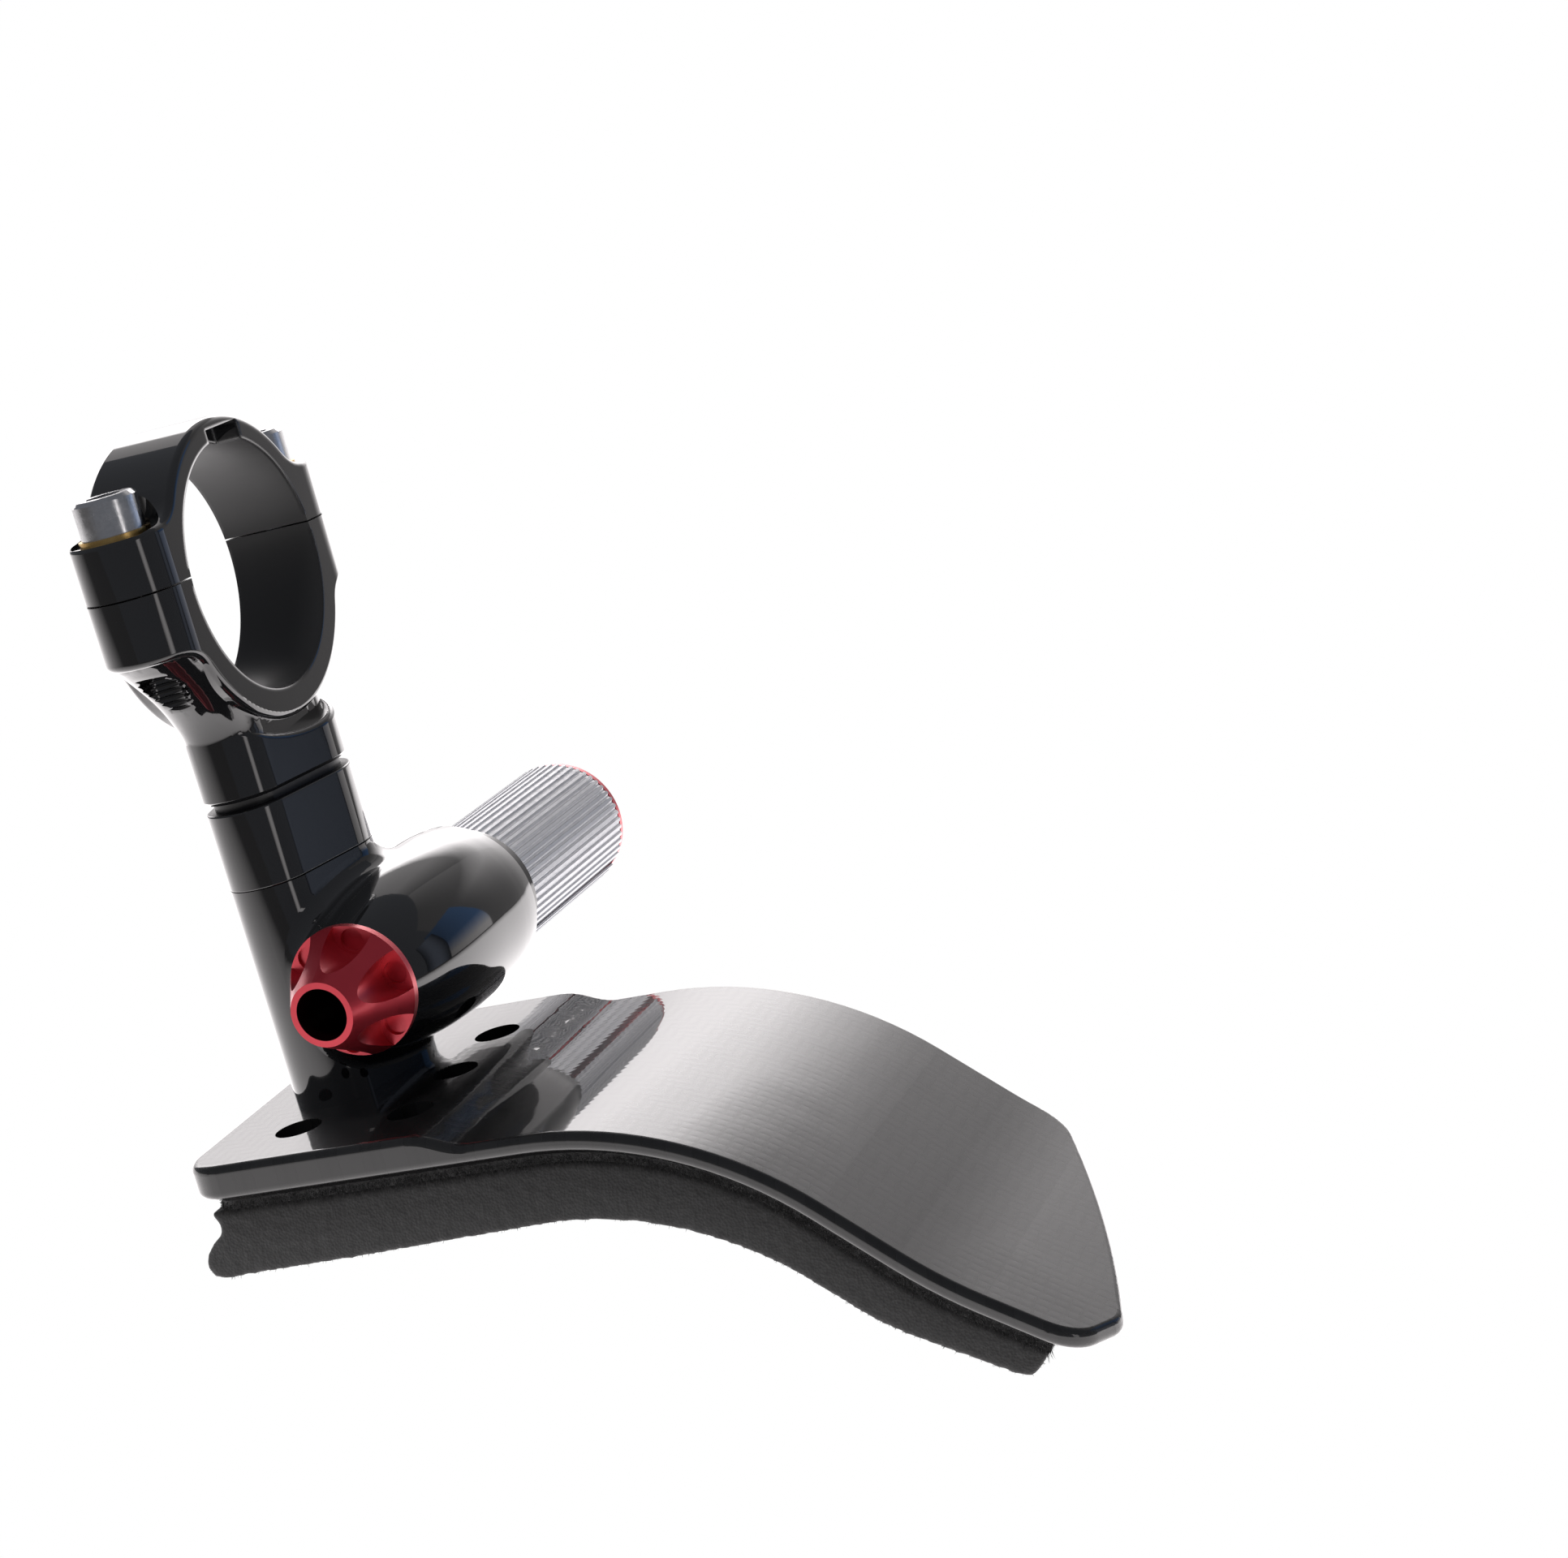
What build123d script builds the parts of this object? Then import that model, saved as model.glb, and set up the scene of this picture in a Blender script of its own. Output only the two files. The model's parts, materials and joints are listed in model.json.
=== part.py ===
"""Clip-on aero bar bracket: handlebar clamp, spacer, bracket body with tube expander, and padded armrest.

Sizes are in millimetres. The pieces are drawn in a design frame with the stem upright: X runs along the
handlebar, Y along the extension tube, and Z up the stem from the armrest's top face to the clamp. At the
end every piece is leaned by one angle, so that the bracket stands on the two ends of its foam pad.
"""
import os
from math import asin, atan2, cos, degrees, sin

from build123d import *

os.makedirs("parts", exist_ok=True)

# Stem section: the hull of two circles on the Y axis
nose_radius = 5.6
nose_y = -8.0
tail_radius = 8.1
tail_y = 2.6

# Stack of heights from the armrest's top face up
post_height = 29.0
spacer_height = 10.0
neck_height = 9.0
flare_height = 12.4
flare_nose_power = 1.45
flare_tail_power = 1.25
base_boss_height = 6.6

# Neck: shadow step at its foot, and a hollowed shoulder under the clamp's lip
neck_step_height = 1.2
neck_step_inset = 1.2
neck_foot_chamfer = 0.5
shoulder_gap = 1.7
shoulder_edge_radius = 0.8

# Web between neck and bosses, narrower than both
web_nose_radius = 5.2
web_tail_radius = 5.4
boss_overhang = 0.8

# Handlebar clamp
handlebar_diameter = 31.8
clamp_width = 12.4
clamp_length = 49.2
ring_wall = 2.9
lip_wall = 3.8
lip_flank_radius = 5.0
clamp_edge_radius = 0.9
split_rise = 1.8
split_gap = 0.2
cap_boss_height = 9.2
seat_recess = 0.4
cap_flank_radius = 6.0
clamp_bolt_spacing = 38.6
head_pocket_clearance = 1.6
relief_y = 1.6
relief_width = 8.0
relief_height = 1.5
relief_depth = 3.6

# M5 fasteners
thread_diameter = 5.0
thread_clearance = 0.05
thread_pitch = 0.8
thread_depth = 0.4
thread_root = 0.1
thread_foot = 0.5
open_threads = 11
open_thread_rise = 2.6
bolt_hole_diameter = 5.5
socket_head_diameter = 7.9
socket_head_height = 4.6
socket_head_edge = 0.5
socket_size = 4.0
socket_depth = 2.6
clamp_bolt_reach = 7.2
washer_diameter = 8.8
washer_thickness = 0.6
flat_head_diameter = 10.0
flat_head_socket = 3.0
flat_head_socket_depth = 1.8
stack_bolt_reach = 8.0
tapped_hole_spare = 1.5

# Barrel of the bracket body, with its axis along Y
barrel_x = 10.0
barrel_z = 14.7
barrel_front_y = -13.8
barrel_front_radius = 8.2
barrel_belly_y = 9.0
barrel_belly_radius = 11.6
barrel_rear_y = 19.0
barrel_rim_radius = 10.3
barrel_shoulder_radius = 11.2
barrel_bevel = 1.6
collar_radius = 9.4
collar_length = 2.8
body_blend_radius = 2.5
washer_recess_clearance = 0.2

# Expander: hollow bolt with its knob, fluted sleeve and cone
shank_diameter = 10.0
shank_clearance = 0.1
cable_bore = 6.6
knob_length = 9.6
knob_flange = 1.0
knob_ring_diameter = 8.3
knob_base_diameter = 16.8
knob_pockets = 6
knob_pocket_start = -12.0
knob_pocket_diameter = 5.3
knob_pocket_circle = 7.5
knob_dimple_diameter = 3.0
knob_dimple_circle = 6.7
knob_dimple_depth = 0.5
thrust_washer_diameter = 15.0
thrust_washer_thickness = 0.6
knob_clearance = 0.1
sleeve_diameter = 18.2
sleeve_length = 32.0
sleeve_bore_clearance = 0.3
sleeve_flutes = 54
flute_radius = 0.32
sleeve_slit = 1.0
sleeve_slit_angle = 225.0
taper_length = 15.0
taper_mouth_radius = 7.6
cone_clearance = 0.3
cone_tip_gap = 2.0
cone_flange = 0.8
cone_counterbore = 11.4
cone_counterbore_depth = 1.5
shank_recess = 0.6

# Armrest: plan outline, and the curve of its section along X
armrest_left_x = -12.2
armrest_front_y = -30.5
armrest_rear_y = 21.0
armrest_front_tip_x = 95.0
armrest_tip_x = 98.0
armrest_tip_y = -22.0
armrest_taper_x = 82.5
armrest_tip_bulge = 1.2
armrest_corner_radius = 5.5
armrest_edge_radius = 1.0
wing_thickness = 2.4
mount_step = 2.0
mount_edge_x = 23.5
mount_step_radius = 4.0
crest_x = 34.0
crest_radius = 52.0
crest_angle = 42.3
slope_length = 10.8
flick_radius = 60.0
tip_angle = 32.0
tip_length = 16.0

# Row pattern of the armrest's mounting holes
hole_pitch_x = 15.8
hole_pitch_y = 13.5
hole_columns = 2
hole_rows = 3
armrest_hole_diameter = 6.0
stack_bolt_y = (-6.5, 7.0)

# Hook-and-loop layers and foam pad under the armrest
hook_thickness = 0.9
loop_thickness = 1.1
foam_thickness = 7.8
foam_heel_drop = 1.2
foam_crest_radius = 46.0
foam_slope_length = 5.9
foam_flick_radius = 25.0
foam_tip_angle = 29.0
foam_tip_length = 15.6
pad_inset = 2.4
hook_inset = 6.0
pad_tip_length = 8.8
pad_left_x = -10.8
pad_foot_flare = 2.9
pad_waist = 0.6
pad_waist_depth = 2.4
pad_toe_angle = 150.0
pad_corner_radius = 2.1

# Tolerance for picking faces and edges
pick_tolerance = 0.01

# Levels and radii that follow from the sizes above
spacer_z = post_height
neck_z = spacer_z + spacer_height
flare_z = neck_z + neck_height
base_boss_z = flare_z + flare_height
bore_z = base_boss_z + base_boss_height
bore_radius = handlebar_diameter / 2
ring_radius = bore_radius + ring_wall
lip_radius = bore_radius + lip_wall
relief_z = bore_z + bore_radius
clamp_bolt_y = clamp_bolt_spacing / 2
boss_radius = clamp_width / 2
boss_y = clamp_length / 2 - boss_radius
cap_z = bore_z + split_rise + split_gap / 2
base_top_z = cap_z - split_gap
base_boss_reach = base_top_z - base_boss_z
web_radius = boss_radius - boss_overhang
seat_z = bore_z + cap_boss_height - seat_recess
thread_radius = thread_diameter / 2
tapped_radius = thread_radius + thread_clearance
head_z = seat_z + washer_thickness
flat_head_radius = flat_head_diameter / 2 - thread_clearance
head_pocket_radius = socket_head_diameter / 2 + head_pocket_clearance
shell_thickness = mount_step + wing_thickness
hook_depth = wing_thickness
loop_depth = hook_depth + hook_thickness
foam_depth = loop_depth + loop_thickness
foam_level = -(mount_step + foam_depth + foam_thickness)
toe_x = pad_left_x - pad_foot_flare + pad_corner_radius
shank_radius = shank_diameter / 2
barrel_bore_radius = shank_radius + shank_clearance
sleeve_y = barrel_rear_y + collar_length
sleeve_end_y = sleeve_y + sleeve_length
sleeve_radius = sleeve_diameter / 2
sleeve_bore_radius = shank_radius + sleeve_bore_clearance
knob_base_y = barrel_front_y - knob_clearance
knob_front_y = knob_base_y - knob_length
cone_flange_y = sleeve_end_y + cone_clearance
cone_end_y = cone_flange_y + cone_flange
shank_end_y = cone_end_y - shank_recess
clamp_bolt_length = washer_thickness + seat_z - base_top_z + clamp_bolt_reach
stack_bolt_length = shell_thickness + post_height + spacer_height + stack_bolt_reach

barrel_axis = Axis((barrel_x, 0, barrel_z), (0, 1, 0))
bore_plane = Plane((0, 0, bore_z), x_dir=(0, 1, 0), z_dir=(1, 0, 0))
barrel_plane = Plane((barrel_x, 0, barrel_z), x_dir=(0, 1, 0), z_dir=(1, 0, 0))
section_plane = Plane((0, armrest_rear_y, 0), x_dir=(1, 0, 0), z_dir=(0, -1, 0))
underside = Plane((0, 0, -shell_thickness), x_dir=(1, 0, 0), z_dir=(0, 0, -1))
standing_on = (Align.CENTER, Align.CENTER, Align.MIN)
hanging_from = (Align.CENTER, Align.CENTER, Align.MAX)


def barrel_section(y):
    """Plane across the barrel's axis at the given Y, drawn in x and z, facing along +Y."""
    return Plane((barrel_x, y, barrel_z), x_dir=(-1, 0, 0), z_dir=(0, 1, 0))


def hull(y1, r1, y2, r2):
    """Outline round two circles on the Y axis, always started at the same tangent point."""
    lean = asin((r1 - r2) / (y2 - y1))
    side, rise = cos(lean), sin(lean)
    right = Line((r1 * side, y1 + r1 * rise), (r2 * side, y2 + r2 * rise))
    left = Line((-r2 * side, y2 + r2 * rise), (-r1 * side, y1 + r1 * rise))
    ThreePointArc(right @ 1, (0, y2 + r2), left @ 0)
    ThreePointArc(left @ 1, (0, y1 - r1), right @ 0)


def stem_outline(inset=0.0):
    """Teardrop section of the stem."""
    hull(nose_y, nose_radius - inset, tail_y, tail_radius - inset)


def web_outline(nose_share, tail_share):
    """Section of the web, from the neck (shares 0) to the bosses (shares 1)."""
    nose_tip = nose_y - nose_radius + nose_share * (boss_overhang - clamp_length / 2 - nose_y + nose_radius)
    tail_tip = tail_y + tail_radius + tail_share * (clamp_length / 2 - boss_overhang - tail_y - tail_radius)
    nose = web_nose_radius + nose_share * (web_radius - web_nose_radius)
    tail = web_tail_radius + tail_share * (web_radius - web_tail_radius)
    hull(nose_tip + nose, nose, tail_tip - tail, tail)


def section_curve(left, level, radius, slope_reach, flick, end_angle, tip_reach):
    """Curve along X: level part from the left point, crest, slope, flick and tip. Returns both ends."""
    flat = Line(left, (crest_x, level))
    crest = JernArc(flat @ 1, (1, 0), radius, -crest_angle)
    slope = PolarLine(crest @ 1, slope_reach, direction=crest % 1)
    bend = JernArc(slope @ 1, slope % 1, flick, crest_angle - end_angle)
    tip = PolarLine(bend @ 1, tip_reach, direction=bend % 1)
    return flat @ 0, tip @ 1


def contour(left_x, depth, tip_reach):
    """Curve of the armrest at a depth under the wing's top face, from the left end to the tip."""
    level = -(mount_step + depth)
    crest, flick = crest_radius - depth, flick_radius + depth
    return section_curve((left_x, level), level, crest, slope_length, flick, tip_angle, tip_reach)


def armrest_plan(sketch, left_x, inset):
    """Plan outline of the armrest, drawn in by an inset."""
    with BuildLine() as outline:
        sides = Polyline(
            (armrest_taper_x, armrest_rear_y),
            (left_x, armrest_rear_y),
            (left_x, armrest_front_y),
            (armrest_front_tip_x, armrest_front_y),
            (armrest_tip_x, armrest_tip_y),
        )
        SagittaArc(sides @ 0, sides @ 1, armrest_tip_bulge)
    make_face(outline.edges())
    fillet(sketch.vertices(), armrest_corner_radius)
    if inset > 0:
        offset(amount=-inset)


def is_top_edge(edge):
    """Whether an edge lies wholly above the cap's split face."""
    return edge.bounding_box().min.Z > cap_z + split_gap


def is_underside_edge(edge):
    """Whether an edge lies wholly under the base's split face."""
    return edge.bounding_box().max.Z < base_top_z - split_gap


def is_upright(face):
    """Whether a face stands upright, as the armrest's outer walls do."""
    return abs(face.normal_at().Z) < pick_tolerance


def is_corner(edge):
    """Whether an edge is one of the foam pad's rounded lower corners."""
    return abs(edge.radius - pad_corner_radius) < pick_tolerance


# Clamp cap: half ring with two bolt bosses, cut back round the bolt heads
with BuildPart() as clamp_cap:
    with BuildSketch(bore_plane) as cap_profile:
        Circle(ring_radius)
        with Locations((0, cap_boss_height / 2)):
            Rectangle(clamp_length, cap_boss_height)
        seat_corners = cap_profile.vertices().group_by(Axis.Y)[-1].sort_by(Axis.X)
        fillet(seat_corners[1:-1], cap_flank_radius)
        with Locations((0, cap_z - bore_z - ring_radius)):
            Rectangle(4 * ring_radius, 2 * ring_radius, mode=Mode.SUBTRACT)
        Circle(bore_radius, mode=Mode.SUBTRACT)
    extrude(amount=clamp_width / 2, both=True)
    with BuildSketch(Plane.XY.offset(bore_z)):
        with BuildLine():
            hull(-boss_y, boss_radius, boss_y, boss_radius)
        make_face()
    extrude(amount=2 * ring_radius, mode=Mode.INTERSECT)
    fillet(clamp_cap.edges().filter_by(is_top_edge), clamp_edge_radius)
    with Locations((0, -clamp_bolt_y, seat_z), (0, clamp_bolt_y, seat_z)):
        Cylinder(head_pocket_radius, ring_radius, align=standing_on, mode=Mode.SUBTRACT)
    with Locations((0, -clamp_bolt_y, bore_z), (0, clamp_bolt_y, bore_z)):
        Cylinder(bolt_hole_diameter / 2, ring_radius, align=standing_on, mode=Mode.SUBTRACT)
    with Locations((-boss_radius, relief_y, relief_z), (boss_radius, relief_y, relief_z)):
        Box(2 * relief_depth, relief_width, 2 * relief_height, mode=Mode.SUBTRACT)

# Clamp base, upper part: lip round the lower half of the bore, with a boss for each bolt
with BuildPart() as clamp_lip:
    with BuildSketch(bore_plane) as lip_profile:
        Circle(lip_radius)
        with Locations((0, base_top_z - bore_z)):
            Rectangle(clamp_length, base_boss_reach, align=(Align.CENTER, Align.MAX))
        boss_corners = lip_profile.vertices().group_by(Axis.Y)[0].sort_by(Axis.X)
        fillet(boss_corners[1:-1], lip_flank_radius)
        with Locations((0, base_top_z - bore_z)):
            Rectangle(clamp_length, lip_radius, align=(Align.CENTER, Align.MIN), mode=Mode.SUBTRACT)
    extrude(amount=clamp_width / 2, both=True)
    with BuildSketch(Plane.XY.offset(neck_z)):
        with BuildLine():
            hull(-boss_y, boss_radius, boss_y, boss_radius)
        make_face()
    extrude(amount=2 * lip_radius, mode=Mode.INTERSECT)
    fillet(clamp_lip.edges().filter_by(is_underside_edge), clamp_edge_radius)

# Clamp base, lower part: teardrop neck with a hollowed shoulder
with BuildPart() as clamp_neck:
    with BuildSketch(Plane.XY.offset(neck_z + neck_step_height)):
        with BuildLine():
            stem_outline()
        make_face()
    extrude(amount=flare_height)
    with BuildSketch(bore_plane):
        Circle(lip_radius + shoulder_gap)
    extrude(amount=clamp_width, both=True, mode=Mode.SUBTRACT)
    chamfer(clamp_neck.edges().group_by(Axis.Z)[0], neck_foot_chamfer)
    fillet(clamp_neck.faces().sort_by(Axis.Z)[-1].edges(), shoulder_edge_radius)

# Clamp base: both parts joined by the web that carries the tapped bosses
with BuildPart() as clamp_base:
    add(clamp_lip.part)
    add(clamp_neck.part)
    with BuildSketch(Plane.XY.offset(neck_z)):
        with BuildLine():
            stem_outline(neck_step_inset)
        make_face()
    extrude(amount=2 * neck_step_height)
    with BuildSketch(Plane.XY.offset(neck_z + neck_step_height + neck_foot_chamfer)):
        with BuildLine():
            web_outline(0, 0)
        make_face()
    extrude(amount=neck_height - neck_step_height - neck_foot_chamfer)
    flare_steps = 4
    for step in range(flare_steps + 1):
        share = step / flare_steps
        with BuildSketch(Plane.XY.offset(flare_z + share * flare_height)):
            with BuildLine():
                web_outline(share**flare_nose_power, share**flare_tail_power)
            make_face()
    loft()
    with BuildSketch(bore_plane):
        Circle(bore_radius)
    extrude(amount=clamp_width, both=True, mode=Mode.SUBTRACT)
    with Locations((0, -clamp_bolt_y, flare_z), (0, clamp_bolt_y, flare_z)):
        Cylinder(tapped_radius, base_top_z - flare_z, align=standing_on, mode=Mode.SUBTRACT)
    for hole_y in (-clamp_bolt_y, clamp_bolt_y):
        with BuildSketch(Plane((0, hole_y, flare_z + open_thread_rise), x_dir=(0, 1, 0), z_dir=(1, 0, 0))):
            with Locations([(tapped_radius, turn * thread_pitch) for turn in range(open_threads)]):
                Polygon(
                    (-thread_depth, -thread_foot / 2),
                    (0, -thread_foot / 2),
                    (thread_depth, -thread_root / 2),
                    (thread_depth, thread_root / 2),
                    (0, thread_foot / 2),
                    (-thread_depth, thread_foot / 2),
                    align=None,
                )
        revolve(axis=Axis((0, hole_y, flare_z), (0, 0, 1)), mode=Mode.SUBTRACT)
    with Locations((0, stack_bolt_y[0], neck_z), (0, stack_bolt_y[1], neck_z)):
        tapped_depth = stack_bolt_reach + tapped_hole_spare
        Cylinder(tapped_radius, tapped_depth, align=standing_on, mode=Mode.SUBTRACT)

# Clamp bolts: socket head screws seated on the cap's bosses
with BuildPart() as clamp_bolts:
    with Locations((0, -clamp_bolt_y, head_z), (0, clamp_bolt_y, head_z)):
        Cylinder(socket_head_diameter / 2, socket_head_height, align=standing_on)
        Cylinder(thread_radius, clamp_bolt_length, align=hanging_from)
    head_rims = clamp_bolts.edges().filter_by(GeomType.CIRCLE).group_by(Axis.Z)[-1]
    chamfer(head_rims, socket_head_edge)
    with BuildSketch(Plane.XY.offset(head_z + socket_head_height)):
        with Locations((0, -clamp_bolt_y), (0, clamp_bolt_y)):
            RegularPolygon(socket_size / 2, 6, major_radius=False)
    extrude(amount=-socket_depth, mode=Mode.SUBTRACT)

# Washers under the clamp bolts
with BuildPart() as clamp_washers:
    with BuildSketch(Plane.XY.offset(seat_z)):
        with Locations((0, -clamp_bolt_y), (0, clamp_bolt_y)):
            Circle(washer_diameter / 2)
            Circle(bolt_hole_diameter / 2, mode=Mode.SUBTRACT)
    extrude(amount=washer_thickness)

# Spacer between the neck and the bracket body
with BuildPart() as spacer:
    with BuildSketch(Plane.XY.offset(spacer_z)):
        with BuildLine():
            stem_outline()
        make_face()
        with Locations((0, stack_bolt_y[0]), (0, stack_bolt_y[1])):
            Circle(bolt_hole_diameter / 2, mode=Mode.SUBTRACT)
    extrude(amount=spacer_height)

# Bracket body: teardrop post with the bullet shaped barrel on its side
with BuildPart() as bracket_body:
    with BuildSketch(Plane.XY):
        with BuildLine():
            stem_outline()
        make_face()
    extrude(amount=post_height)
    with BuildSketch(barrel_plane):
        with BuildLine():
            bevel_start = (barrel_rear_y - barrel_bevel, barrel_shoulder_radius)
            side = Spline(
                (barrel_front_y, barrel_front_radius),
                (barrel_belly_y, barrel_belly_radius),
                bevel_start,
                tangents=((2.4, 1), (2.4, -0.35)),
            )
            Polyline(
                side @ 1,
                (barrel_rear_y, barrel_rim_radius),
                (barrel_rear_y, collar_radius),
                (sleeve_y, collar_radius),
                (sleeve_y, 0),
                (barrel_front_y, 0),
                side @ 0,
            )
        make_face()
    revolve(axis=barrel_axis)
    fillet(bracket_body.edges(Select.NEW), body_blend_radius)
    with BuildSketch(barrel_section(barrel_front_y)):
        Circle(thrust_washer_diameter / 2 + washer_recess_clearance)
    extrude(amount=thrust_washer_thickness, mode=Mode.SUBTRACT)
    with BuildSketch(barrel_section(barrel_front_y)):
        Circle(barrel_bore_radius)
    extrude(amount=sleeve_y - barrel_front_y, mode=Mode.SUBTRACT)
    with Locations((0, stack_bolt_y[0], 0), (0, stack_bolt_y[1], 0)):
        Cylinder(bolt_hole_diameter / 2, post_height, align=standing_on, mode=Mode.SUBTRACT)

# Thrust washer between the knob and the barrel's front face
with BuildPart() as thrust_washer:
    with BuildSketch(barrel_section(barrel_front_y)):
        Circle(thrust_washer_diameter / 2)
        Circle(barrel_bore_radius, mode=Mode.SUBTRACT)
    extrude(amount=thrust_washer_thickness)

# Expander bolt: pocketed knob on a hollow shank
with BuildPart() as expander_bolt:
    with BuildSketch(barrel_plane):
        with BuildLine():
            Polyline(
                (knob_front_y, cable_bore / 2),
                (knob_front_y, knob_ring_diameter / 2),
                (knob_base_y - knob_flange, knob_base_diameter / 2),
                (knob_base_y, knob_base_diameter / 2),
                (knob_base_y, shank_radius),
                (shank_end_y, shank_radius),
                (shank_end_y, cable_bore / 2),
                close=True,
            )
        make_face()
    revolve(axis=barrel_axis)
    with BuildSketch(barrel_section(knob_base_y - knob_flange)):
        with PolarLocations(knob_pocket_circle, knob_pockets, start_angle=knob_pocket_start):
            Circle(knob_pocket_diameter / 2)
    extrude(amount=-knob_length, mode=Mode.SUBTRACT)
    with BuildSketch(barrel_section(knob_base_y - knob_flange)):
        with PolarLocations(knob_dimple_circle, knob_pockets, start_angle=knob_pocket_start):
            Circle(knob_dimple_diameter / 2)
    extrude(amount=knob_dimple_depth, mode=Mode.SUBTRACT)

# Expander sleeve: fluted, slit along one side, with a taper in its mouth
with BuildPart() as expander_sleeve:
    with BuildSketch(barrel_section(sleeve_y)):
        Circle(sleeve_radius)
        with PolarLocations(sleeve_radius, sleeve_flutes):
            Circle(flute_radius, mode=Mode.SUBTRACT)
        Circle(sleeve_bore_radius, mode=Mode.SUBTRACT)
        with PolarLocations(sleeve_radius / 2, 1, start_angle=sleeve_slit_angle):
            Rectangle(2 * sleeve_radius, sleeve_slit, align=(Align.MIN, Align.CENTER), mode=Mode.SUBTRACT)
    extrude(amount=sleeve_length)
    with BuildSketch(barrel_plane):
        Polygon(
            (sleeve_end_y, 0),
            (sleeve_end_y, taper_mouth_radius),
            (sleeve_end_y - taper_length, sleeve_bore_radius),
            (sleeve_end_y - taper_length, 0),
            align=None,
        )
    revolve(axis=barrel_axis, mode=Mode.SUBTRACT)

# Expander cone: threaded on the shank, with a thin flange over the sleeve's end
with BuildPart() as expander_cone:
    with BuildSketch(barrel_plane):
        with BuildLine():
            cone_tip_y = sleeve_end_y - taper_length + cone_tip_gap
            taper_slope = (taper_mouth_radius - sleeve_bore_radius) / taper_length
            cone_mouth_radius = taper_mouth_radius - cone_clearance
            cone_tip_radius = cone_mouth_radius - taper_slope * (cone_flange_y - cone_tip_y)
            Polyline(
                (cone_tip_y, barrel_bore_radius),
                (cone_tip_y, cone_tip_radius),
                (cone_flange_y, cone_mouth_radius),
                (cone_flange_y, sleeve_radius - cone_clearance),
                (cone_end_y, sleeve_radius - cone_clearance),
                (cone_end_y, cone_counterbore / 2),
                (cone_end_y - cone_counterbore_depth, cone_counterbore / 2),
                (cone_end_y - cone_counterbore_depth, barrel_bore_radius),
                close=True,
            )
        make_face()
    revolve(axis=barrel_axis)

# Armrest shell: thick mounting area with a step down to the curved wing
with BuildPart() as armrest_shell:
    with BuildSketch(section_plane):
        with BuildLine():
            top_left, top_tip = contour(armrest_left_x, 0, tip_length)
            low_left, low_tip = contour(armrest_left_x, wing_thickness, tip_length)
            Line(top_left, low_left)
            Line(top_tip, low_tip)
        make_face()
        with BuildLine():
            step_top = (mount_edge_x - mount_step_radius, 0)
            Polyline(step_top, (armrest_left_x, 0), (armrest_left_x, -mount_step - wing_thickness / 2))
            Polyline(
                (armrest_left_x, -mount_step - wing_thickness / 2),
                (mount_edge_x + mount_step_radius, -mount_step - wing_thickness / 2),
                (mount_edge_x + mount_step_radius, -mount_step),
            )
            Spline(step_top, (mount_edge_x + mount_step_radius, -mount_step), tangents=((1, 0), (1, 0)))
        make_face()
    extrude(amount=armrest_rear_y - armrest_front_y)
    with BuildSketch(Plane.XY.offset(-armrest_tip_x)) as shell_plan:
        armrest_plan(shell_plan, armrest_left_x, 0)
    extrude(amount=2 * armrest_tip_x, mode=Mode.INTERSECT)
    rims = armrest_shell.faces().filter_by(is_upright).edges().filter_by(Axis.Z, reverse=True)
    fillet(rims, armrest_edge_radius)
    with Locations(underside):
        with Locations((hole_pitch_x / 2, -stack_bolt_y[0])):
            with GridLocations(hole_pitch_x, hole_pitch_y, hole_columns, hole_rows):
                CounterSinkHole(armrest_hole_diameter / 2, flat_head_diameter / 2, shell_thickness)

# Stack bolts: countersunk screws from the armrest through post and spacer into the neck
with BuildPart() as stack_bolts:
    with Locations((0, stack_bolt_y[0], -shell_thickness), (0, stack_bolt_y[1], -shell_thickness)):
        Cone(flat_head_radius, thread_radius, flat_head_radius - thread_radius, align=standing_on)
        Cylinder(thread_radius, stack_bolt_length, align=standing_on)
    with BuildSketch(Plane.XY.offset(-shell_thickness)):
        with Locations((0, stack_bolt_y[0]), (0, stack_bolt_y[1])):
            RegularPolygon(flat_head_socket / 2, 6, major_radius=False)
    extrude(amount=flat_head_socket_depth, mode=Mode.SUBTRACT)

# Hook tape on the shell, loop backing on the pad, and the foam itself
with BuildPart() as hook_tape:
    with BuildSketch(section_plane):
        with BuildLine():
            top_left, top_tip = contour(pad_left_x, hook_depth, pad_tip_length)
            low_left, low_tip = contour(pad_left_x, loop_depth, pad_tip_length)
            Line(top_left, low_left)
            Line(top_tip, low_tip)
        make_face()
    extrude(amount=armrest_rear_y - armrest_front_y)
    with BuildSketch(Plane.XY.offset(-armrest_tip_x)) as hook_plan:
        armrest_plan(hook_plan, armrest_left_x, hook_inset)
    extrude(amount=2 * armrest_tip_x, mode=Mode.INTERSECT)

with BuildPart() as loop_backing:
    with BuildSketch(section_plane):
        with BuildLine():
            top_left, top_tip = contour(pad_left_x, loop_depth, pad_tip_length)
            low_left, low_tip = contour(pad_left_x, foam_depth, pad_tip_length)
            Line(top_left, low_left)
            Line(top_tip, low_tip)
        make_face()
    extrude(amount=armrest_rear_y - armrest_front_y)
    with BuildSketch(Plane.XY.offset(-armrest_tip_x)) as loop_plan:
        armrest_plan(loop_plan, armrest_left_x, pad_inset)
    extrude(amount=2 * armrest_tip_x, mode=Mode.INTERSECT)

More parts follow.
